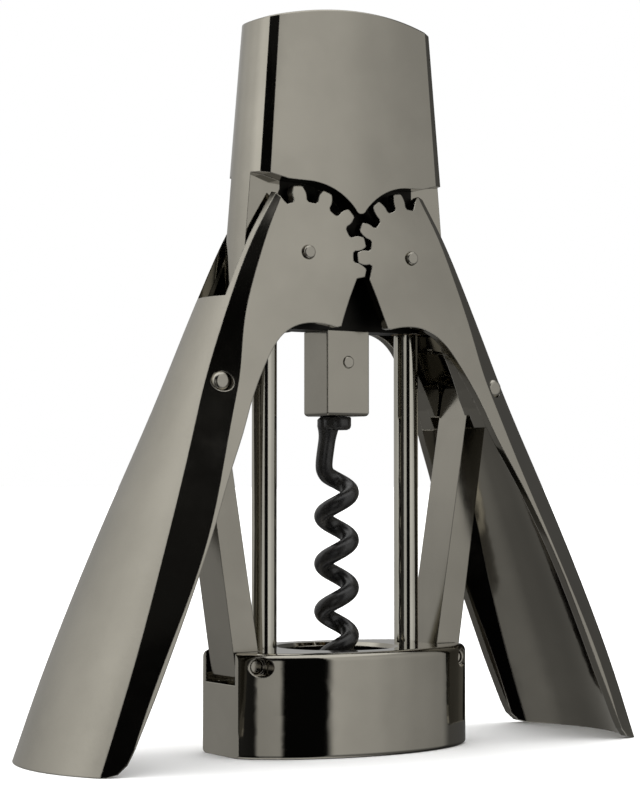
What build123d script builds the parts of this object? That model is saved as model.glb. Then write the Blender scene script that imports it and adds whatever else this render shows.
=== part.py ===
from build123d import *
from math import acos, cos, degrees, hypot, radians, sin, sqrt, tan
import os

os.makedirs("parts", exist_ok=True)

# Twin-lever corkscrew, standing on its oval base with the levers spread.
# Millimetres. Origin on the table under the worm, +Z up, levers left and right
# along X, front towards -Y.

# --- pivots -----------------------------------------------------------------
gear_x, gear_z = 13.0, 104.8  # gear pivots in the head
knee_x, knee_z = 34.3, 77.2  # lever to link
foot_x, foot_z = 25.1, 18.8  # link to base
pin_play = 0.05  # radial play of every turning pin

# --- base -------------------------------------------------------------------
base_a, base_b, base_h = 31.2, 18.6, 21.6  # half axes and height of the oval
bottle_r, bottle_depth = 15.0, 13.5  # seat for the bottle's lip
mouth_r = 12.4  # opening in the top of the base
slot_half = 6.2  # half width of the link slots
slot_floor = 14.9
slot_back = 21.5
foot_pin_r = 1.5
end_flat = 28.6  # flat at each end of the oval

# --- guide rods -------------------------------------------------------------
rod_x, rod_r = 18.05, 2.65
rod_top, rod_seat = 100.0, 19.0
spigot_r, spigot_low = 2.0, 6.0
screw_head_r, screw_pocket_r = 2.3, 2.5

# --- head -------------------------------------------------------------------
tongue_half = 4.0  # half depth of the part between the gear plates
head_low = 89.0
head_corner, head_apex = 155.3, 157.1
recess_r = 15.2  # arch over each gear
bush_r, bush_len = 3.3, 8.0
rod_bore_r, rod_bore_top = 3.0, 146.5
gear_pin_r, gear_pin_end = 1.4, 10.4
tenon_r, tenon_top = 2.6, 101.0
# level: corner x, corner depth, flank x, flank depth, flank middle, face middle
head_levels = [
    (88.0, 23.45, 7.9, 25.6, 7.0, 27.3, 10.3),
    (160.0, 18.15, 6.8, 19.75, 5.8, 21.2, 9.0),
]

# --- gears ------------------------------------------------------------------
teeth, module = 13, 2.0
pitch_r = teeth * module / 2
tip_r, root_r = 14.2, 10.8
tooth_width = 2.95  # at the pitch circle
pressure = radians(20)
tooth_turn = 2.4  # how far the meshing teeth stand below the line of the pivots

# --- levers -----------------------------------------------------------------
plate_t, wall_t = 2.2, 1.9
lever_low = 0.05
notch_z, notch_half, notch_top = 95.2, 5.9, 4.9
boss_r, boss_half, boss_end = 4.5, 4.65, 8.4
rivet_r, rivet_head_r = 1.5, 2.0
# level: flange half depth, edge half depth, edge x, set-back of the crease from
# the edge, half depth of the curved flange in the middle
lever_flare = [
    (-4.0, 21.5, 19.8, 67.6, 4.3, 22.0),
    (16.0, 21.35, 19.1, 60.2, 4.6, 21.9),
    (36.0, 20.5, 16.8, 52.8, 6.4, 21.2),
    (53.0, 17.9, 13.9, 46.4, 6.9, 18.7),
    (63.0, 15.5, 11.85, 42.6, 6.5, 16.4),
    (68.0, 14.4, 10.8, 40.8, 6.3, 15.4),
    (78.0, 12.3, 8.9, 37.1, 6.0, 13.5),
    (84.0, 10.9, 8.25, 34.8, 5.0, 12.2),
    (90.0, 9.75, 7.7, 32.4, 3.9, 11.2),
    (97.0, 8.8, 7.1, 29.5, 3.1, 10.75),
    (102.0, 8.35, 6.75, 27.3, 2.65, 10.4),
    (110.5, 7.55, 6.4, 23.1, 2.0, 9.7),
    (118.0, 6.6, 6.1, 18.5, 1.1, 8.4),
    (121.0, 6.2, 5.95, 16.9, 0.8, 7.9),
]
lever_levels = [-3.9, 10, 24, 38, 52, 64, 74, 82, 90, 98, 106, 114, 120.5]
# inner outline of the flange, from the wedge between the gears to the tip
wedge = [(5.9, 89.4), (5.3, 91.0), (3.55, 95.4), (1.6, 99.7)]
arch = [(6.8, 89.2), (11.7, 89.9), (15.6, 89.5), (18.5, 88.3), (20.9, 86.4), (23.0, 83.8), (25.0, 80.7), (27.1, 77.0), (29.2, 72.7)]
inner_edge = [(31.4, 67.4), (34.9, 60.2), (38.6, 52.3), (46.0, 35.7), (54.8, 15.4)]
tip_corner = [(59.5, 5.2), (61.0, 2.4), (62.9, 0.6), (65.0, lever_low)]
# pads inside the plates that carry the rivets: bottom, top and outer half depth
pads = [(68.6, 74.2, 12.3), (74.0, 80.2, 11.0), (80.0, 85.5, 9.8)]
pad_half, pad_low = 5.75, 71.4

# --- links ------------------------------------------------------------------
link_half_t, link_foot_t, link_half_w = 2.6, 2.95, 5.2
link_below, link_round = 1.9, 5.15  # end below the pin, corners of the top end
rivet_in, rivet_seat, rivet_out = 5.75, 9.5, 10.95  # inner end of the lever rivets, clear of the link

# --- worm -------------------------------------------------------------------
worm_r, wire_r, worm_pitch = 3.0, 1.85, 10.2
worm_top, worm_turns = 59.6, 4.25
worm_phase = 147.5  # direction of the wire at the top of the coil
collar_r, collar_z = 3.15, 68.0
holder_x, holder_y, holder_low = 10.7, 9.6, 70.8
worm_spigot_r, worm_spigot_top = 2.3, 86.0
worm_pin_r, worm_pin_z = 1.3, 82.3


def tooth(centre):
    """Outline of one tooth, as (radius, angle) from its lower to its upper root."""
    base_r = pitch_r * cos(pressure)
    flank = []
    for r in (root_r, root_r + 0.5, base_r, 12.7, pitch_r, 13.4, 13.8, tip_r - 0.12, tip_r):
        a = acos(base_r / max(r, base_r))
        half = tooth_width / 2 / pitch_r + (tan(pressure) - pressure) - (tan(a) - a)
        if r == root_r:
            half += 0.035
        if r == tip_r:
            half -= 0.02
        flank.append((r, degrees(half)))
    return [(r, centre - h) for r, h in flank] + [(r, centre + h) for r, h in reversed(flank)]


def around_gear(polar):
    """Points round the right gear pivot, from radius and angle above the inner side."""
    return [(gear_x - r * cos(radians(a)), gear_z + r * sin(radians(a))) for r, a in polar]


def lever_outline():
    """Side view of a lever without its teeth: straight runs, and the arch."""
    rim = around_gear([(15.0, a) for a in range(-20, 125, 8)])
    outside = [(40.0, 118.1), (90.0, 118.1), (90.0, lever_low)]
    straight = arch[:1] + wedge + rim + outside + tip_corner[::-1] + inner_edge[:1:-1]
    return straight, inner_edge[2::-1] + arch[::-1]


def gear_space(centres, flange_from, merged):
    """Everything outside the teeth, up to the corner of the flange. The underside
    of a merged first tooth runs into the wedge."""
    polar = []
    for n, centre in enumerate(centres):
        if n:
            mid = centre - 180 / teeth
            polar += [(root_r - 0.08, mid)]
        polar += tooth(centre)[8 if merged and not n else 0 :]
    polar += [(root_r, flange_from), (root_r + 0.7, flange_from + 1.5), (13.0, flange_from + 2.8), (14.2, flange_from + 5.2)]
    polar += [(14.5, a) for a in (106, 112, 118, 124) if a > flange_from + 6]
    polar += [(17.0, a) for a in range(126, -25, -10)]
    return wedge[-1:] + around_gear(polar)


def flare(z, col):
    """One column of the flare table at height z, with no overshoot between rows."""
    zs = [row[0] for row in lever_flare]
    v = [row[col] for row in lever_flare]
    gap = [q - p for p, q in zip(zs, zs[1:])]
    rise = [(q - p) / g for p, q, g in zip(v, v[1:], gap)]
    slope = [rise[0]]
    for n in range(1, len(rise)):
        w, u = 2 * gap[n] + gap[n - 1], gap[n] + 2 * gap[n - 1]
        same = rise[n - 1] * rise[n] > 0
        slope.append((w + u) / (w / rise[n - 1] + u / rise[n]) if same else 0.0)
    slope.append(rise[-1])
    n = max(k for k in range(len(gap)) if k == 0 or z > zs[k])
    s = (z - zs[n]) / gap[n]
    start = (1 + 2 * s) * v[n] + s * gap[n] * slope[n]
    end = (3 - 2 * s) * v[n + 1] + (s - 1) * gap[n] * slope[n + 1]
    return (1 - s) ** 2 * start + s * s * end


def lever_section(z, inner):
    """Crease, edge and middle of the wall at one level, outside or inside."""
    h, he, xe, back, mid = [flare(z, col) for col in (1, 2, 3, 4, 5)]
    bulge = 2.0 + 0.34 * (he - 7.4)
    xc, xm = xe - back, xe + bulge
    if not inner:
        return xc, h, xe, he, xm, mid
    wall_r = (he * he + bulge * bulge) / (2 * bulge)
    run = hypot(back, h - he)
    bx, by = back / run, -(h - he) / run
    px, py = xc + wall_t * by, h - wall_t * bx
    hi = h - plate_t
    ci = px + bx * (hi - py) / by
    cen, ri = xm - wall_r, wall_r - wall_t
    qx = px - cen
    b = qx * bx + py * by
    t = -b + sqrt(b * b - (qx * qx + py * py - ri * ri))
    ei = px + bx * t
    return min(ci, ei - 0.1), hi, ei, min(py + by * t, hi - 0.05), xm - wall_t, mid - plate_t


def plate(x, xc, h, mid):
    """Half depth of the curved plate at x, h at its crease and mid over the worm."""
    return mid - (mid - h) * (x / xc) ** 2


def arch_x(z):
    """Inner edge of the flange at height z, along the arch."""
    run = arch + inner_edge[:1]
    for (x0, z0), (x1, z1) in zip(run, run[1:]):
        if z1 <= z <= z0:
            return x0 + (x1 - x0) * (z - z0) / (z1 - z0)


# === base ===================================================================
with BuildPart() as base_body:
    with BuildSketch(Plane.XY):
        Ellipse(base_a, base_b)
    extrude(amount=base_h)
    fillet(base_body.faces().sort_by(Axis.Z)[-1].edges(), 1.6)
    fillet(base_body.faces().sort_by(Axis.Z)[0].edges(), 0.8)
    with BuildSketch(Plane.XY):
        Circle(bottle_r)
    extrude(amount=bottle_depth, mode=Mode.SUBTRACT)
    with BuildSketch(Plane.XY.offset(bottle_depth)):
        Circle(mouth_r)
    extrude(amount=base_h, mode=Mode.SUBTRACT)
    chamfer(base_body.edges().filter_by(GeomType.CIRCLE).group_by(Axis.Z)[-1], 0.8)
    for side in (1, -1):
        # flat end, and the link slot, open at the top and at the end
        with Locations((side * (end_flat + 4), 0, base_h / 2)):
            Box(8, 2 * base_b, base_h + 4, mode=Mode.SUBTRACT)
        with Locations((side * (slot_back + 8), 0, slot_floor + 8)):
            Box(16, 2 * slot_half, 16, mode=Mode.SUBTRACT)
        # cross hole of the link pin, sunk at both faces
        with Locations((side * foot_x, 0, foot_z)):
            Cylinder(foot_pin_r + 0.01, 40, rotation=(90, 0, 0), mode=Mode.SUBTRACT)
        for face in (1, -1):
            with Locations((side * foot_x, face * 12.9, foot_z)):
                Cylinder(2.05, 8, rotation=(90, 0, 0), mode=Mode.SUBTRACT)
        # seat and hole of the guide rod, pocket of its screw
        with Locations((side * rod_x, 0, rod_seat + 5)):
            Cylinder(rod_r + 0.01, 10, mode=Mode.SUBTRACT)
        with Locations((side * rod_x, 0, 12)):
            Cylinder(spigot_r + 0.01, 20, mode=Mode.SUBTRACT)
        with Locations((side * rod_x, 0, 1.5)):
            Cylinder(screw_pocket_r, 9, mode=Mode.SUBTRACT)
base_body.part.label = "base_body"
export_step(base_body.part, "parts/base_body.step")

# === guide rods and their screws ============================================
for side, name in ((-1, "left"), (1, "right")):
    with BuildPart() as guide_rod:
        with BuildSketch(Plane.XY.offset(rod_seat)):
            with Locations((side * rod_x, 0)):
                Circle(rod_r)
        extrude(amount=rod_top - rod_seat)
        chamfer(guide_rod.faces().sort_by(Axis.Z)[-1].edges(), 0.6)
        with BuildSketch(Plane.XY.offset(spigot_low)):
            with Locations((side * rod_x, 0)):
                Circle(spigot_r)
        extrude(amount=rod_seat - spigot_low)
        with BuildSketch(Plane.XY.offset(spigot_low)):
            with Locations((side * rod_x, 0)):
                Circle(1.27)
        extrude(amount=9, mode=Mode.SUBTRACT)
    guide_rod.part.label = "guide_rod_" + name
    export_step(guide_rod.part, "parts/guide_rod_" + name + ".step")

    with BuildPart() as link_pin:
        with BuildSketch(Plane.XZ):
            with Locations((side * foot_x, foot_z)):
                Circle(foot_pin_r)
        extrude(amount=8.7, both=True)
        chamfer(link_pin.edges().filter_by(GeomType.CIRCLE), 0.3)
    link_pin.part.label = "link_pin_" + name
    export_step(link_pin.part, "parts/link_pin_" + name + ".step")

with BuildPart() as rod_screws:
    for side in (-1, 1):
        with Locations((side * rod_x, 0, spigot_low - 1.0)):
            Cylinder(screw_head_r, 2.0)
        with Locations((side * rod_x, 0, spigot_low + 4.0)):
            Cylinder(1.25, 8.0)
        with Locations((side * rod_x, 0, spigot_low - 2.0)):
            Box(0.7, 3.4, 1.6, mode=Mode.SUBTRACT)
rod_screws.part.label = "rod_screws"
export_step(rod_screws.part, "parts/rod_screws.step")

# === head ===================================================================
with BuildPart() as head_body:
    for z, xc, yc, xe, ye, xm, yf in head_levels:
        with BuildSketch(Plane.XY.offset(z)):
            with BuildLine():
                ThreePointArc((-xc, -yc), (0, -yf), (xc, -yc))
                Line((xc, -yc), (xe, -ye))
                ThreePointArc((xe, -ye), (xm, 0), (xe, ye))
                Line((xe, ye), (xc, yc))
                ThreePointArc((xc, yc), (0, yf), (-xc, yc))
                Line((-xc, yc), (-xe, ye))
                ThreePointArc((-xe, ye), (-xm, 0), (-xe, -ye))
                Line((-xe, -ye), (-xc, -yc))
            make_face()
    loft()
    # arched top and level underside
    with BuildSketch(Plane.XZ):
        with BuildLine():
            ThreePointArc((-22, head_corner - 1.2), (0, head_apex), (22, head_corner - 1.2))
            Polyline((22, head_corner - 1.2), (32, head_corner - 1.2), (32, head_low), (-32, head_low), (-32, head_corner - 1.2), (-22, head_corner - 1.2))
        make_face()
    extrude(amount=20, both=True, mode=Mode.INTERSECT)
    fillet(head_body.faces().sort_by(Axis.Z)[-1].edges(), 0.5)
    # recess for the gear plates, in front and behind, with an arch over each gear
    cusp_x = 1.3
    arch_cos = (gear_x - cusp_x) / recess_r
    cusp_z = gear_z + recess_r * sqrt(1 - arch_cos**2)
    arch_mid = degrees(acos(arch_cos)) / 2 + 45
    for face in (1, -1):
        with BuildSketch(Plane.XZ.offset(face * tongue_half)):
            with BuildLine():
                ThreePointArc((-cusp_x, cusp_z), (0, cusp_z - 0.9), (cusp_x, cusp_z))
                for side in (-1, 1):
                    ThreePointArc(
                        (side * cusp_x, cusp_z),
                        (side * (gear_x - recess_r * cos(radians(arch_mid))), gear_z + recess_r * sin(radians(arch_mid))),
                        (side * gear_x, gear_z + recess_r),
                    )
                    Polyline((side * gear_x, gear_z + recess_r), (side * 17, gear_z + recess_r + 0.2), (side * 21, gear_z + recess_r + 1.2), (side * 32, gear_z + recess_r + 2.2), (side * 32, 80))
                Line((-32, 80), (32, 80))
            make_face()
        extrude(amount=face * 20, mode=Mode.SUBTRACT)
    for side in (1, -1):
        with Locations((side * rod_x, 0, head_low + bush_len / 2 - 1)):
            Cylinder(bush_r + 0.01, bush_len + 2, mode=Mode.SUBTRACT)
        with Locations((side * rod_x, 0, (head_low + rod_bore_top) / 2)):
            Cylinder(rod_bore_r, rod_bore_top - head_low, mode=Mode.SUBTRACT)
        with Locations((side * gear_x, 0, gear_z)):
            Cylinder(gear_pin_r + 0.01, 30, rotation=(90, 0, 0), mode=Mode.SUBTRACT)
    with Locations((0, 0, (head_low + tenon_top) / 2)):
        Cylinder(tenon_r + 0.01, tenon_top - head_low + 0.1, mode=Mode.SUBTRACT)
head_body.part.label = "head_body"
export_step(head_body.part, "parts/head_body.step")

for side, name in ((-1, "left"), (1, "right")):
    with BuildPart() as guide_bush:
        with BuildSketch(Plane.XY.offset(head_low)):
            with Locations((side * rod_x, 0)):
                Circle(bush_r)
                Circle(rod_r + pin_play, mode=Mode.SUBTRACT)
        extrude(amount=bush_len)
    guide_bush.part.label = "guide_bush_" + name
    export_step(guide_bush.part, "parts/guide_bush_" + name + ".step")

    with BuildPart() as gear_pin:
        with BuildSketch(Plane.XZ):
            with Locations((side * gear_x, gear_z)):
                Circle(gear_pin_r)
        extrude(amount=gear_pin_end, both=True)
        fillet(gear_pin.edges().filter_by(GeomType.CIRCLE), 0.4)
    gear_pin.part.label = "gear_pin_" + name
    export_step(gear_pin.part, "parts/gear_pin_" + name + ".step")

    with BuildPart() as pivot_washers:
        for face in (1, -1):
            with Locations((side * gear_x, face * (tongue_half + boss_half) / 2, gear_z)):
                Cylinder(3.6, 0.45, rotation=(90, 0, 0))
        with Locations((side * gear_x, 0, gear_z)):
            Cylinder(gear_pin_r + 0.02, 30, rotation=(90, 0, 0), mode=Mode.SUBTRACT)
    pivot_washers.part.label = "pivot_washers_" + name
    export_step(pivot_washers.part, "parts/pivot_washers_" + name + ".step")

# === worm and its holder ====================================================
with BuildPart() as worm_holder:
    with BuildSketch(Plane.XY.offset(holder_low)):
        Rectangle(holder_x, holder_y)
    extrude(amount=head_low - holder_low)
    fillet(worm_holder.edges().filter_by(Axis.Z), 0.3)
    fillet(worm_holder.faces().sort_by(Axis.Z)[0].edges(), 0.8)
    with BuildSketch(Plane.XY.offset(head_low)):
        Circle(tenon_r)
    extrude(amount=tenon_top - head_low)
    with Locations((0, 0, (holder_low + worm_spigot_top) / 2)):
        Cylinder(worm_spigot_r + 0.01, worm_spigot_top - holder_low + 0.2, mode=Mode.SUBTRACT)
    with Locations((0, 0, worm_pin_z)):
        Cylinder(worm_pin_r + 0.01, 20, rotation=(90, 0, 0), mode=Mode.SUBTRACT)
worm_holder.part.label = "worm_holder"
export_step(worm_holder.part, "parts/worm_holder.step")

with BuildPart() as worm_pin:
    with BuildSketch(Plane.XZ):
        with Locations((0, worm_pin_z)):
            Circle(worm_pin_r)
    extrude(amount=holder_y / 2 + 0.25, both=True)
    fillet(worm_pin.edges().filter_by(GeomType.CIRCLE), 0.25)
worm_pin.part.label = "worm_pin"
export_step(worm_pin.part, "parts/worm_pin.step")

# right-hand coil of round wire, a slanting shank, a collar and a spigot
coil_low = worm_top - worm_turns * worm_pitch
coil_start = worm_phase - worm_turns * 360
out_x, out_y = cos(radians(worm_phase)), sin(radians(worm_phase))
shank_a = Vector(worm_r * out_x, worm_r * out_y, worm_top)
shank_b = Vector(1.3 * out_x, 1.3 * out_y, collar_z + 0.8)
with BuildPart() as worm:
    with BuildLine() as coil:
        add(Helix(pitch=worm_pitch, height=worm_turns * worm_pitch, radius=worm_r, mode=Mode.PRIVATE).moved(Location((0, 0, coil_low), (0, 0, coil_start))))
    with BuildSketch(Plane(origin=coil.line @ 0, z_dir=coil.line % 0)):
        Circle(wire_r)
    sweep(path=coil.line, is_frenet=True)
    with Locations(shank_a):
        Sphere(wire_r)
    with BuildSketch(Plane(origin=shank_a, z_dir=shank_b - shank_a)):
        Circle(wire_r)
    extrude(amount=(shank_b - shank_a).length)
    with BuildSketch(Plane.XY.offset(collar_z)):
        Circle(collar_r)
    extrude(amount=holder_low - collar_z)
    with BuildSketch(Plane.XY.offset(holder_low)):
        Circle(worm_spigot_r)
    extrude(amount=worm_spigot_top - holder_low)
    with Locations((0, 0, worm_pin_z)):
        Cylinder(worm_pin_r + 0.01, 20, rotation=(90, 0, 0), mode=Mode.SUBTRACT)
worm.part.label = "worm"
export_step(worm.part, "parts/worm.step")

# === levers =================================================================
step = 360 / teeth
gears = {
    "left": (-1, [-step / 2 - tooth_turn + n * step for n in range(5)], 111.0),
    "right": (1, [n * step - tooth_turn for n in range(4)], 99.5),
}
for name, (side, centres, flange_from) in gears.items():
    with BuildPart() as lever:
        # flared body, as a solid
        for level in lever_levels:
            xc, h, xe, he, xm, mid = lever_section(level, False)
            half, end = plate((xc - 9) / 2, xc, h, mid), plate(-9, xc, h, mid)
            with BuildSketch(Plane.XY.offset(level)):
                with BuildLine():
                    Line((xe, he), (xc, h))
                    ThreePointArc((xc, h), ((xc - 9) / 2, half), (-9, end))
                    Line((-9, end), (-9, -end))
                    ThreePointArc((-9, -end), ((xc - 9) / 2, -half), (xc, -h))
                    Line((xc, -h), (xe, -he))
                    ThreePointArc((xe, -he), (xm, 0), (xe, he))
                make_face()
        loft()
        # side view: wedge, arch, straight edge and tip
        straight, curve = lever_outline()
        with BuildSketch(Plane.XZ):
            with BuildLine():
                Polyline(*straight)
                Spline(*curve)
            make_face()
        extrude(amount=30, both=True, mode=Mode.INTERSECT)
        # hollow of the channel, open towards the worm and at both ends
        for level in lever_levels:
            xc, h, xe, he, xm, mid = lever_section(level, True)
            half, end = plate((xc - 14) / 2, xc, h, mid), plate(-14, xc, h, mid)
            with BuildSketch(Plane.XY.offset(level)):
                with BuildLine():
                    Line((xe, he), (xc, h))
                    ThreePointArc((xc, h), ((xc - 14) / 2, half), (-14, end))
                    Line((-14, end), (-14, -end))
                    ThreePointArc((-14, -end), ((xc - 14) / 2, -half), (xc, -h))
                    Line((xc, -h), (xe, -he))
                    ThreePointArc((xe, -he), (xm, 0), (xe, he))
                make_face()
        loft(mode=Mode.SUBTRACT)
        # pads for the rivets, between the link and the plates
        for face in (1, -1):
            for low, high, out in pads:
                rim = [((arch_x(low + n * (high - low) / 4) + 0.06), low + n * (high - low) / 4) for n in range(5)]
                ends = [((lever_section(z, False)[0] - 0.3), z) for z in (high, low)]
                with BuildSketch(Plane.XZ.offset(face * 7.6)):
                    with BuildLine():
                        Polyline(*rim, *ends, close=True)
                    make_face()
                extrude(amount=face * (out - 7.6))
            low, high = pad_low, pads[-1][1]
            rim = [((arch_x(low + n * (high - low) / 8) + 0.06), low + n * (high - low) / 8) for n in range(9)]
            ends = [((lever_section(z, False)[2] - 0.5), z) for z in (high, low)]
            with BuildSketch(Plane.XZ.offset(face * pad_half)):
                with BuildLine():
                    Polyline(*rim, *ends, close=True)
                make_face()
            extrude(amount=face * (7.7 - pad_half))
            # the pad slopes back to the plate above the rivet
            with BuildSketch(Plane.YZ.offset(10)):
                with BuildLine():
                    Polyline((face * 5.0, 75.0), (face * pad_half, 75.0), (face * 8.2, 86.5), (face * 5.0, 86.5), close=True)
                make_face()
            extrude(amount=20.5, mode=Mode.SUBTRACT)
        # the wall stops short of the head, between the two plates
        with BuildSketch(Plane.YZ.offset(10)):
            with BuildLine():
                Polyline((-notch_half, notch_z), (notch_half, notch_z), (notch_top, 119), (notch_top, 130), (-notch_top, 130), (-notch_top, 119), close=True)
            make_face()
        extrude(amount=40, mode=Mode.SUBTRACT)
        # teeth
        with BuildSketch(Plane.XZ):
            with BuildLine():
                Polyline(*gear_space(centres, flange_from, side < 0), close=True)
            make_face()
        extrude(amount=30, both=True, mode=Mode.SUBTRACT)
        # bosses and bores of the gear pivot
        for face in (1, -1):
            with BuildSketch(Plane.XZ.offset(face * boss_half)):
                with Locations((gear_x, gear_z)):
                    Circle(boss_r)
            extrude(amount=face * (boss_end - boss_half))
        with Locations((gear_x, 0, gear_z)):
            Cylinder(gear_pin_r + pin_play, 40, rotation=(90, 0, 0), mode=Mode.SUBTRACT)
        # seats of the two rivets
        for face in (1, -1):
            with Locations((knee_x, face * 10, knee_z)):
                Cylinder(rivet_r + 0.01, 10, rotation=(90, 0, 0), mode=Mode.SUBTRACT)
            with Locations((knee_x, face * (rivet_seat + 5), knee_z)):
                Cylinder(rivet_head_r + 0.01, 10, rotation=(90, 0, 0), mode=Mode.SUBTRACT)
        if side < 0:
            mirror(about=Plane.YZ, mode=Mode.REPLACE)
    lever.part.label = "lever_" + name
    export_step(lever.part, "parts/lever_" + name + ".step")

    with BuildPart() as lever_rivets:
        for face in (1, -1):
            with BuildSketch(Plane.XZ.offset(face * rivet_in)):
                with Locations((side * knee_x, knee_z)):
                    Circle(rivet_r)
            extrude(amount=face * (rivet_seat - rivet_in))
            with BuildSketch(Plane.XZ.offset(face * rivet_seat)):
                with Locations((side * knee_x, knee_z)):
                    Circle(rivet_head_r)
            extrude(amount=face * (rivet_out - rivet_seat))
        fillet(lever_rivets.edges().filter_by(GeomType.CIRCLE).group_by(Axis.Y)[0], 0.9)
        fillet(lever_rivets.edges().filter_by(GeomType.CIRCLE).group_by(Axis.Y)[-1], 0.9)
    lever_rivets.part.label = "lever_rivets_" + name
    export_step(lever_rivets.part, "parts/lever_rivets_" + name + ".step")

    # === link ===============================================================
    lean = Vector(side * (knee_x - foot_x), 0, knee_z - foot_z)
    bar = Plane(origin=(side * foot_x, 0, foot_z), x_dir=lean, z_dir=(0, -1, 0))
    with BuildPart() as link:
        with BuildSketch(bar):
            with BuildLine():
                Polyline((lean.length, -link_half_t), (-link_below, -link_foot_t), (-link_below, link_foot_t), (lean.length, link_half_t))
                ThreePointArc((lean.length, link_half_t), (lean.length + link_half_t, 0), (lean.length, -link_half_t))
            make_face()
        extrude(amount=link_half_w, both=True)
        # rounded corners at the top end, seen on the broad face
        with BuildSketch(Plane(origin=bar.origin, x_dir=lean, z_dir=bar.y_dir)):
            with Locations((lean.length / 2 + (link_half_t - link_below) / 2, 0)):
                RectangleRounded(lean.length + link_half_t + link_below, 2 * link_half_w, 1.2)
            with Locations((lean.length + link_half_t - link_round, 0)):
                Rectangle(2 * link_round, 2 * link_half_w, mode=Mode.SUBTRACT)
            with Locations((lean.length + link_half_t - 15, 0)):
                RectangleRounded(30, 2 * link_half_w, link_round)
        extrude(amount=20, both=True, mode=Mode.INTERSECT)
        with BuildSketch(bar):
            Circle(foot_pin_r + pin_play)
            with Locations((lean.length, 0)):
                Circle(rivet_r + pin_play)
        extrude(amount=20, both=True, mode=Mode.SUBTRACT)
    link.part.label = "link_" + name
    export_step(link.part, "parts/link_" + name + ".step")
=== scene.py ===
import math

import bmesh
import bpy
import numpy as np
from mathutils import Euler, Matrix, Vector


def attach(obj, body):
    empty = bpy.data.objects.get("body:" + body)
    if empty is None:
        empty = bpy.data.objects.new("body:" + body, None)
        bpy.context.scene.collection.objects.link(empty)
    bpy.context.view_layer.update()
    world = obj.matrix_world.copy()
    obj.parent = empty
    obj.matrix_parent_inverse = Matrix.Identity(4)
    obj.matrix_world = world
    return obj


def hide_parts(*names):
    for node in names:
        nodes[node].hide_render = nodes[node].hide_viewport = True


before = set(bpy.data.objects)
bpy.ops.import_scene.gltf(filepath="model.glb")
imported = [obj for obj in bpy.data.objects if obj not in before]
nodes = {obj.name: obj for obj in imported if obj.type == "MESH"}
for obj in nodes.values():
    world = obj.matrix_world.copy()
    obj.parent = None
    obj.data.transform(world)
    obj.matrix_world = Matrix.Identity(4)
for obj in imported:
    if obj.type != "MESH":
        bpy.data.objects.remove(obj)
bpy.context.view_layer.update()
scene = bpy.context.scene

# ---------------------------------------------------------------------------
# node helpers


def new_material(name):
    mat = bpy.data.materials.new(name)
    mat.use_nodes = True
    tree = mat.node_tree
    return mat, tree, tree.nodes["Principled BSDF"]


def add(tree, kind, **values):
    """A node with its properties and its unlinked inputs set."""
    node = tree.nodes.new(kind)
    for key, value in values.items():
        if key.startswith("in_"):
            name = key[3:]
            node.inputs[int(name) if name.isdigit() else name.replace("_", " ")].default_value = value
        else:
            setattr(node, key, value)
    return node


def math_node(tree, operation, a, b=None, clamp=False):
    node = add(tree, "ShaderNodeMath", operation=operation, use_clamp=clamp)
    for n, value in enumerate((a, b)):
        if value is None:
            continue
        if isinstance(value, (int, float)):
            node.inputs[n].default_value = value
        else:
            tree.links.new(value, node.inputs[n])
    return node.outputs[0]


def map_range(tree, value, a, b, c, d, smooth=False):
    node = add(tree, "ShaderNodeMapRange", interpolation_type="SMOOTHSTEP" if smooth else "LINEAR")
    tree.links.new(value, node.inputs["Value"])
    for key, v in zip(("From Min", "From Max", "To Min", "To Max"), (a, b, c, d)):
        node.inputs[key].default_value = v
    return node.outputs["Result"]


def noise(tree, vector, scale, detail=3.0, rough=0.55):
    node = add(tree, "ShaderNodeTexNoise", in_Scale=scale, in_Detail=detail, in_Roughness=rough)
    tree.links.new(vector, node.inputs["Vector"])
    return node.outputs["Fac"]


def mix_colour(tree, fac, a, b):
    node = add(tree, "ShaderNodeMix", data_type="RGBA")
    for socket, value in ((node.inputs[0], fac), (node.inputs[6], a), (node.inputs[7], b)):
        if isinstance(value, (int, float)):
            socket.default_value = value
        elif isinstance(value, tuple):
            socket.default_value = (*value, 1.0)
        else:
            tree.links.new(value, socket)
    return node.outputs[2]


def mix_value(tree, fac, a, b):
    node = add(tree, "ShaderNodeMix", data_type="FLOAT")
    for socket, value in ((node.inputs[0], fac), (node.inputs[2], a), (node.inputs[3], b)):
        if isinstance(value, (int, float)):
            socket.default_value = value
        else:
            tree.links.new(value, socket)
    return node.outputs[0]


def edge_mask(tree, radius):
    """1 along sharp edges, 0 on open faces: how far a rounded normal turns from the real one."""
    bevel = add(tree, "ShaderNodeBevel", samples=6, in_Radius=radius)
    geo = add(tree, "ShaderNodeNewGeometry")
    dot = add(tree, "ShaderNodeVectorMath", operation="DOT_PRODUCT")
    tree.links.new(bevel.outputs["Normal"], dot.inputs[0])
    tree.links.new(geo.outputs["Normal"], dot.inputs[1])
    return map_range(tree, dot.outputs["Value"], 0.99, 0.80, 0.0, 1.0, smooth=True), bevel


def stretched(tree, coords, scale):
    node = add(tree, "ShaderNodeMapping")
    node.inputs["Scale"].default_value = scale
    tree.links.new(coords, node.inputs["Vector"])
    return node.outputs["Vector"]


# ---------------------------------------------------------------------------
# materials


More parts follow.
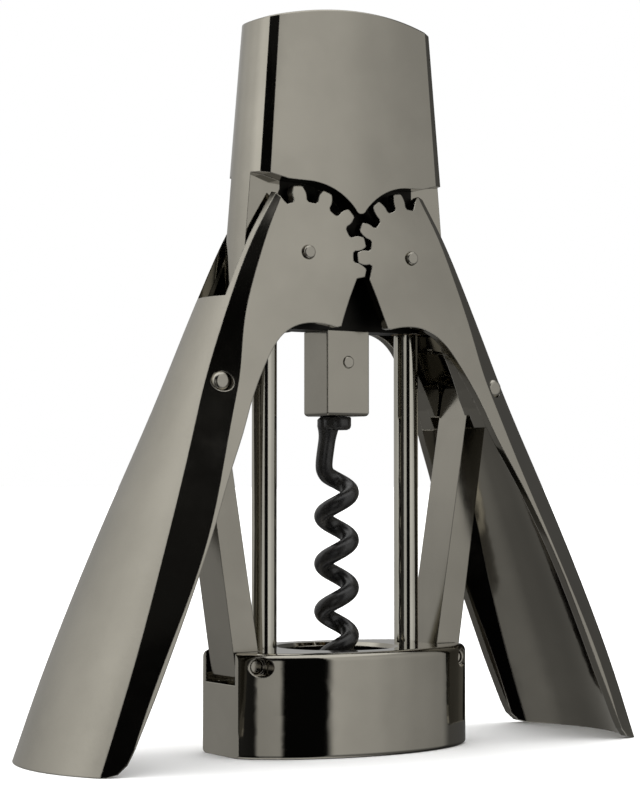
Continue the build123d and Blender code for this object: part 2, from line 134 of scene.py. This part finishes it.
def nickel(name, colour, worn, rough_low, rough_high, grain=0.0, grain_scale=(1, 1, 1), satin_dir=None, satin_rough=(0.30, 0.38), edge=0.00025, satin_at=(0.55, 0.78), rim=0.55, shade_recess=None):
    """Grey nickel plate. Faces towards satin_dir, in the object's own frame, are bead-blasted. Inside the recess box,
    if one is given, the colour is near-black painted shade.
    """
    mat, tree, bsdf = new_material(name)
    links = tree.links
    coords = add(tree, "ShaderNodeTexCoord")
    obj = coords.outputs["Object"]
    bsdf.inputs["Metallic"].default_value = 1.0

    cloud = noise(tree, obj, 45.0, 4.0)
    smear = noise(tree, obj, 160.0, 6.0, 0.65)
    speck = noise(tree, obj, 2600.0, 2.0)
    edges, bevel = edge_mask(tree, edge)

    darker = tuple(c * 0.90 for c in colour)
    tone = mix_colour(tree, map_range(tree, cloud, 0.35, 0.68, 0.0, 1.0, True), darker, colour)
    tone = mix_colour(tree, math_node(tree, "MULTIPLY", edges, rim), tone, worn)
    polish = map_range(tree, smear, 0.35, 0.72, rough_low, rough_high)
    if shade_recess is not None:
        # painted shade: the recess face between the gear plates lies in deep shade, so it is coloured near-black
        # inside a box, in the object's own frame
        split = add(tree, "ShaderNodeSeparateXYZ")
        links.new(obj, split.inputs[0])
        inside = 1.0
        for axis, (low, high) in enumerate(shade_recess):
            above = math_node(tree, "GREATER_THAN", split.outputs[axis], low)
            below = math_node(tree, "LESS_THAN", split.outputs[axis], high)
            inside = math_node(tree, "MULTIPLY", math_node(tree, "MULTIPLY", above, below), inside)
        painted_shade = mix_colour(tree, smear, (0.012, 0.012, 0.011), (0.035, 0.033, 0.029))
        tone = mix_colour(tree, inside, tone, painted_shade)
        polish = mix_value(tree, inside, polish, 0.5)
    links.new(tone, bsdf.inputs["Base Color"])

    height = math_node(tree, "MULTIPLY", cloud, 0.25)
    if satin_dir is not None:
        dot = add(tree, "ShaderNodeVectorMath", operation="DOT_PRODUCT")
        links.new(coords.outputs["Normal"], dot.inputs[0])
        dot.inputs[1].default_value = Vector(satin_dir).normalized()
        satin = map_range(tree, dot.outputs["Value"], satin_at[0], satin_at[1], 0.0, 1.0, True)
        blasted = map_range(tree, speck, 0.3, 0.7, satin_rough[0], satin_rough[1])
        polish = mix_value(tree, satin, polish, blasted)
        height = math_node(tree, "ADD", height, math_node(tree, "MULTIPLY", math_node(tree, "MULTIPLY", speck, satin), 0.5))
    links.new(polish, bsdf.inputs["Roughness"])

    if grain:
        lines = noise(tree, stretched(tree, obj, grain_scale), 900.0, 3.0, 0.6)
        height = math_node(tree, "ADD", height, math_node(tree, "MULTIPLY", lines, grain))
    bump = add(tree, "ShaderNodeBump", in_Strength=0.12, in_Distance=0.00008)
    links.new(height, bump.inputs["Height"])
    links.new(bevel.outputs["Normal"], bump.inputs["Normal"])
    links.new(bump.outputs["Normal"], bsdf.inputs["Normal"])
    return mat


NICKEL = (0.385, 0.365, 0.315)
WORN = (0.58, 0.56, 0.50)
LEAN = (0.9365, 0.0, 0.3507)

# the box on the head is the recess between the gear plates, coloured near-black as painted shade
mat_head = nickel("head_nickel", NICKEL, WORN, 0.06, 0.11, grain=0.05, grain_scale=(1, 1, 0.05), shade_recess=((-0.0168, 0.0168), (-0.00405, 0.00405), (0.0885, 0.1206)))
mat_lever_left = nickel("lever_left_nickel", NICKEL, WORN, 0.07, 0.13, satin_dir=(-LEAN[0], 0, LEAN[2]), edge=0.00035, rim=0.9)
mat_lever_right = nickel("lever_right_nickel", NICKEL, WORN, 0.07, 0.13, satin_dir=LEAN, edge=0.00035, rim=0.9)
mat_link = nickel("link_nickel", (0.34, 0.322, 0.278), WORN, 0.14, 0.22, grain=0.25, grain_scale=(1, 1, 0.04))
mat_base = nickel("base_nickel", NICKEL, WORN, 0.035, 0.075)
mat_rod = nickel("rod_nickel", (0.58, 0.56, 0.49), WORN, 0.06, 0.12, grain=0.3, grain_scale=(0.05, 0.05, 1))
mat_holder = nickel("holder_nickel", NICKEL, WORN, 0.12, 0.2, grain=0.12, grain_scale=(1, 1, 0.05))
mat_pin = nickel("pin_steel", (0.40, 0.38, 0.33), (0.70, 0.68, 0.62), 0.12, 0.26, grain=0.8, grain_scale=(0.6, 0.6, 0.6), edge=0.00022, rim=0.7)


def black_coat():
    """Gloss low-friction coating on spring wire, faintly uneven, thin on the crests."""
    mat, tree, bsdf = new_material("worm_coating")
    links = tree.links
    obj = add(tree, "ShaderNodeTexCoord").outputs["Object"]
    cloud = noise(tree, obj, 220.0, 4.0)
    grain = noise(tree, obj, 2400.0, 3.0)
    links.new(mix_colour(tree, map_range(tree, cloud, 0.3, 0.7, 0, 1, True), (0.006, 0.006, 0.0065), (0.016, 0.015, 0.014)), bsdf.inputs["Base Color"])
    links.new(map_range(tree, grain, 0.3, 0.7, 0.24, 0.36), bsdf.inputs["Roughness"])
    bsdf.inputs["Specular IOR Level"].default_value = 0.55
    bump = add(tree, "ShaderNodeBump", in_Strength=0.2, in_Distance=0.00006)
    links.new(math_node(tree, "ADD", cloud, math_node(tree, "MULTIPLY", grain, 0.25)), bump.inputs["Height"])
    links.new(bump.outputs["Normal"], bsdf.inputs["Normal"])
    return mat


def bronze():
    mat, tree, bsdf = new_material("bush_bronze")
    links = tree.links
    obj = add(tree, "ShaderNodeTexCoord").outputs["Object"]
    bsdf.inputs["Metallic"].default_value = 1.0
    pores = noise(tree, obj, 3200.0, 2.0)
    cloud = noise(tree, obj, 300.0, 3.0)
    links.new(mix_colour(tree, map_range(tree, cloud, 0.3, 0.7, 0, 1), (0.36, 0.24, 0.11), (0.52, 0.37, 0.19)), bsdf.inputs["Base Color"])
    links.new(map_range(tree, pores, 0.35, 0.65, 0.34, 0.55), bsdf.inputs["Roughness"])
    bump = add(tree, "ShaderNodeBump", in_Strength=0.3, in_Distance=0.00005)
    links.new(pores, bump.inputs["Height"])
    links.new(bump.outputs["Normal"], bsdf.inputs["Normal"])
    return mat


def washer():
    mat, tree, bsdf = new_material("washer_polymer")
    links = tree.links
    obj = add(tree, "ShaderNodeTexCoord").outputs["Object"]
    grain = noise(tree, obj, 2800.0, 2.0)
    cloud = noise(tree, obj, 260.0, 3.0)
    links.new(mix_colour(tree, cloud, (0.020, 0.020, 0.021), (0.045, 0.044, 0.042)), bsdf.inputs["Base Color"])
    links.new(map_range(tree, grain, 0.3, 0.7, 0.5, 0.68), bsdf.inputs["Roughness"])
    bump = add(tree, "ShaderNodeBump", in_Strength=0.25, in_Distance=0.00005)
    links.new(grain, bump.inputs["Height"])
    links.new(bump.outputs["Normal"], bsdf.inputs["Normal"])
    return mat


mat_black = black_coat()
mat_bronze = bronze()
mat_washer = washer()

finish = {
    "base_body": mat_base,
    "guide_rod_left": mat_rod,
    "guide_rod_right": mat_rod,
    "rod_screws": mat_pin,
    "link_pin_left": mat_pin,
    "link_pin_right": mat_pin,
    "head_body": mat_head,
    "guide_bush_left": mat_bronze,
    "guide_bush_right": mat_bronze,
    "gear_pin_left": mat_pin,
    "gear_pin_right": mat_pin,
    "pivot_washers_left": mat_washer,
    "pivot_washers_right": mat_washer,
    "worm_holder": mat_holder,
    "worm": mat_black,
    "worm_pin": mat_pin,
    "lever_left": mat_lever_left,
    "lever_rivets_left": mat_pin,
    "lever_right": mat_lever_right,
    "lever_rivets_right": mat_pin,
    "link_left": mat_link,
    "link_right": mat_link,
}
for name, obj in nodes.items():
    obj.data.materials.clear()
    obj.data.materials.append(finish[name])

# ---------------------------------------------------------------------------
# worm: one round wire that leaves the collar, swings out and winds to a point

MM = 0.001
COIL_R, WIRE_R, PITCH = 3.0, 1.85, 10.2
COIL_TOP, TURNS, PHASE = 59.6, 4.25, math.radians(147.5)
COLLAR_R, COLLAR_LOW, COLLAR_TOP = 3.15, 68.0, 70.75


def centreline():
    """Points of the wire's middle, from inside the collar down to the tip."""
    pts, radii = [], []
    total = TURNS * 2 * math.pi
    for k in range(521):
        z = COLLAR_TOP - 0.6 - (COLLAR_TOP - 0.6 - (COIL_TOP - TURNS * PITCH)) * k / 520
        turn = (z - COIL_TOP) / PITCH * 2 * math.pi
        blend = min(1.0, max(0.0, (COLLAR_TOP - 1.0 - z) / (COLLAR_TOP - 1.0 - (COIL_TOP - 1.2))))
        blend = blend * blend * (3 - 2 * blend)
        # the winding starts gently, so that the wire runs straight down at first
        wind = turn if turn < -0.9 else -0.9 + 0.9 * math.tanh((turn + 0.9) / 0.9) * 0.62
        r = COIL_R * (0.62 + 0.38 * blend)
        pts.append((r * math.cos(PHASE + wind), r * math.sin(PHASE + wind), z))
        left = total + min(turn, 0.0)
        taper = min(1.0, left / (0.6 * 2 * math.pi))
        # the wire swells a little where it joins the collar
        swell = 0.55 * (max(0.0, z - 65.2) / 3.4) ** 2 if z < 68.6 else 0.55
        radii.append(WIRE_R * (0.16 + 0.84 * math.sin(taper * math.pi / 2) ** 0.8) + swell)
    return np.array(pts), np.array(radii)


def tube(bm, pts, radii, sides=28):
    tangent = np.gradient(pts, axis=0)
    tangent /= np.linalg.norm(tangent, axis=1)[:, None]
    normal = np.array((1.0, 0.0, 0.0))
    rings = []
    for p, t, r in zip(pts, tangent, radii):
        normal = normal - t * normal.dot(t)
        normal /= np.linalg.norm(normal)
        other = np.cross(t, normal)
        ring = [bm.verts.new(Vector((p + r * (math.cos(a) * normal + math.sin(a) * other)) * MM)) for a in np.arange(sides) * 2 * math.pi / sides]
        rings.append(ring)
    for a, b in zip(rings, rings[1:]):
        for k in range(sides):
            bm.faces.new((a[k], a[(k + 1) % sides], b[(k + 1) % sides], b[k]))
    for ring, p, t, r, sign in ((rings[0], pts[0], tangent[0], radii[0], -1), (rings[-1], pts[-1], tangent[-1], radii[-1], 1)):
        end = bm.verts.new(Vector((p + sign * t * r * 0.9) * MM))
        for k in range(sides):
            bm.faces.new((ring[k], ring[(k + 1) % sides], end))


def lathe(bm, profile, sides=56):
    rings = []
    for r, z in profile:
        if r < 1e-6:
            rings.append([bm.verts.new((0, 0, z * MM))])
        else:
            rings.append([bm.verts.new((r * math.cos(a) * MM, r * math.sin(a) * MM, z * MM)) for a in np.arange(sides) * 2 * math.pi / sides])
    for a, b in zip(rings, rings[1:]):
        for k in range(sides):
            j = (k + 1) % sides
            if len(a) == 1:
                bm.faces.new((a[0], b[j], b[k]))
            elif len(b) == 1:
                bm.faces.new((a[k], a[j], b[0]))
            else:
                bm.faces.new((a[k], a[j], b[j], b[k]))


bm = bmesh.new()
tube(bm, *centreline())
lathe(
    bm,
    [(0, COLLAR_LOW - 0.15), (2.3, COLLAR_LOW - 0.1), (2.85, COLLAR_LOW + 0.15), (COLLAR_R - 0.08, COLLAR_LOW + 0.5), (COLLAR_R, COLLAR_LOW + 0.9), (COLLAR_R, COLLAR_TOP - 0.25), (COLLAR_R - 0.2, COLLAR_TOP - 0.05), (0, COLLAR_TOP)],
)
bmesh.ops.recalc_face_normals(bm, faces=bm.faces)
mesh = bpy.data.meshes.new("worm_wire")
bm.to_mesh(mesh)
bm.free()
for poly in mesh.polygons:
    poly.use_smooth = True
mesh.materials.append(mat_black)
worm = bpy.data.objects.new("worm_wire", mesh)
scene.collection.objects.link(worm)
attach(worm, "head")
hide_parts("worm")

# ---------------------------------------------------------------------------
# floor


def floor_material():
    mat, tree, bsdf = new_material("floor_white")
    obj = add(tree, "ShaderNodeTexCoord").outputs["Object"]
    tree.links.new(mix_colour(tree, noise(tree, obj, 3.0, 2.0), (0.90, 0.90, 0.895), (0.92, 0.92, 0.915)), bsdf.inputs["Base Color"])
    bsdf.inputs["Roughness"].default_value = 0.9
    bsdf.inputs["Specular IOR Level"].default_value = 0.1
    return mat


mesh = bpy.data.meshes.new("floor")
s = 30.0
mesh.from_pydata([(-s, -s, 0), (s, -s, 0), (s, s, 0), (-s, s, 0)], [], [(0, 1, 2, 3)])
mesh.materials.append(floor_material())
floor = bpy.data.objects.new("floor", mesh)
floor.visible_glossy = False
scene.collection.objects.link(floor)

# ---------------------------------------------------------------------------
# studio: a surround that is bright behind and to the right and dark by the
# camera, so that the plate mirrors soft panels with dark gaps between them


def studio():
    world = bpy.data.worlds.new("studio")
    scene.world = world
    world.use_nodes = True
    tree = world.node_tree
    links = tree.links
    back = tree.nodes["Background"]
    direction = add(tree, "ShaderNodeTexCoord").outputs["Generated"]
    split = add(tree, "ShaderNodeSeparateXYZ")
    links.new(direction, split.inputs[0])
    x, y, z = split.outputs
    # 0 behind, 0.25 left, 0.5 in front, 0.75 right
    azimuth = math_node(tree, "ARCTAN2", x, math_node(tree, "MULTIPLY", y, -1.0))
    turn = map_range(tree, azimuth, -math.pi, math.pi, 0.0, 1.0)
    # brightness round the compass, degrees from the front, level and looking up
    stops = [
        (-180, 0.46, 0.56), (-150, 0.46, 0.78), (-125, 0.52, 0.92), (-105, 0.80, 1.20), (-86, 0.80, 1.12), (-79, 0.03, 0.04),
        (-56, 0.02, 0.02), (-51, 0.54, 0.015), (-31, 0.58, 0.015), (-27, 0.004, 0.004), (1, 0.004, 0.004), (6.5, 0.80, 0.86),
        (25, 0.74, 0.80), (40, 0.58, 0.66), (55, 0.50, 0.56), (75, 0.42, 0.44), (86, 0.12, 0.12), (128, 0.10, 0.12), (150, 0.40, 0.50), (180, 0.46, 0.56),
    ]
    rings = []
    for column in (1, 2):
        ring = add(tree, "ShaderNodeValToRGB")
        ramp = ring.color_ramp
        ramp.interpolation = "EASE"
        for n, row in enumerate(stops):
            position, value = (row[0] + 180) / 360, row[column]
            stop = ramp.elements[n] if n < 2 else ramp.elements.new(position)
            stop.position = position
            stop.color = (value, value * 0.995, value * 0.98, 1)
        links.new(turn, ring.inputs[0])
        rings.append(ring.outputs[0])
    surround = mix_colour(tree, map_range(tree, z, 0.08, 0.28, 0.0, 1.0, True), *rings)
    tall = map_range(tree, z, -0.50, 0.0, 0.30, 1.0, True)
    fade = map_range(tree, z, 0.70, 0.88, 1.0, 0.0, True)
    top = map_range(tree, z, 0.67, 0.86, 0.0, 1.3, True)
    below = map_range(tree, z, -0.95, -0.78, 0.6, 0.0, True)
    level = math_node(tree, "MULTIPLY", tall, fade)
    scaled = add(tree, "ShaderNodeVectorMath", operation="SCALE")
    links.new(surround, scaled.inputs[0])
    links.new(level, scaled.inputs["Scale"])
    total = add(tree, "ShaderNodeVectorMath", operation="ADD")
    links.new(scaled.outputs[0], total.inputs[0])
    links.new(math_node(tree, "ADD", top, below), total.inputs[1])
    path = add(tree, "ShaderNodeLightPath")
    links.new(mix_colour(tree, path.outputs["Is Camera Ray"], total.outputs[0], (1.0, 1.0, 1.0)), back.inputs["Color"])


studio()


# broad light from above for the floor and the contact shadows; the plate mirrors
# the surround alone
light = bpy.data.lights.new("overhead", "SUN")
light.energy = 3.1
light.angle = math.radians(110)
overhead = bpy.data.objects.new("overhead", light)
overhead.rotation_euler = Euler((math.radians(-8), math.radians(6), 0.0), "XYZ")
overhead.visible_glossy = False
scene.collection.objects.link(overhead)

# ---------------------------------------------------------------------------
# camera

YAW = math.radians(32.5)
F_PX, CX, CY, W, H = 2230.0, 336.5, 484.0, 640, 800
cam = bpy.data.cameras.new("camera")
cam.sensor_fit = "VERTICAL"
cam.sensor_height = 36.0
cam.lens = F_PX / H * 36.0
cam.clip_start, cam.clip_end = 0.01, 100.0
turn_left = math.atan((CX - W / 2) / F_PX)
tilt_up = math.atan((CY - H / 2) / F_PX)
camera = bpy.data.objects.new("camera", cam)
camera.location = (-0.480 * math.sin(YAW), -0.480 * math.cos(YAW), 0.0563)
camera.rotation_euler = Euler((math.pi / 2 + tilt_up, 0.0, -YAW + turn_left), "XYZ")
scene.collection.objects.link(camera)
scene.camera = camera
scene.view_settings.view_transform = "Standard"
scene.view_settings.look = "None"
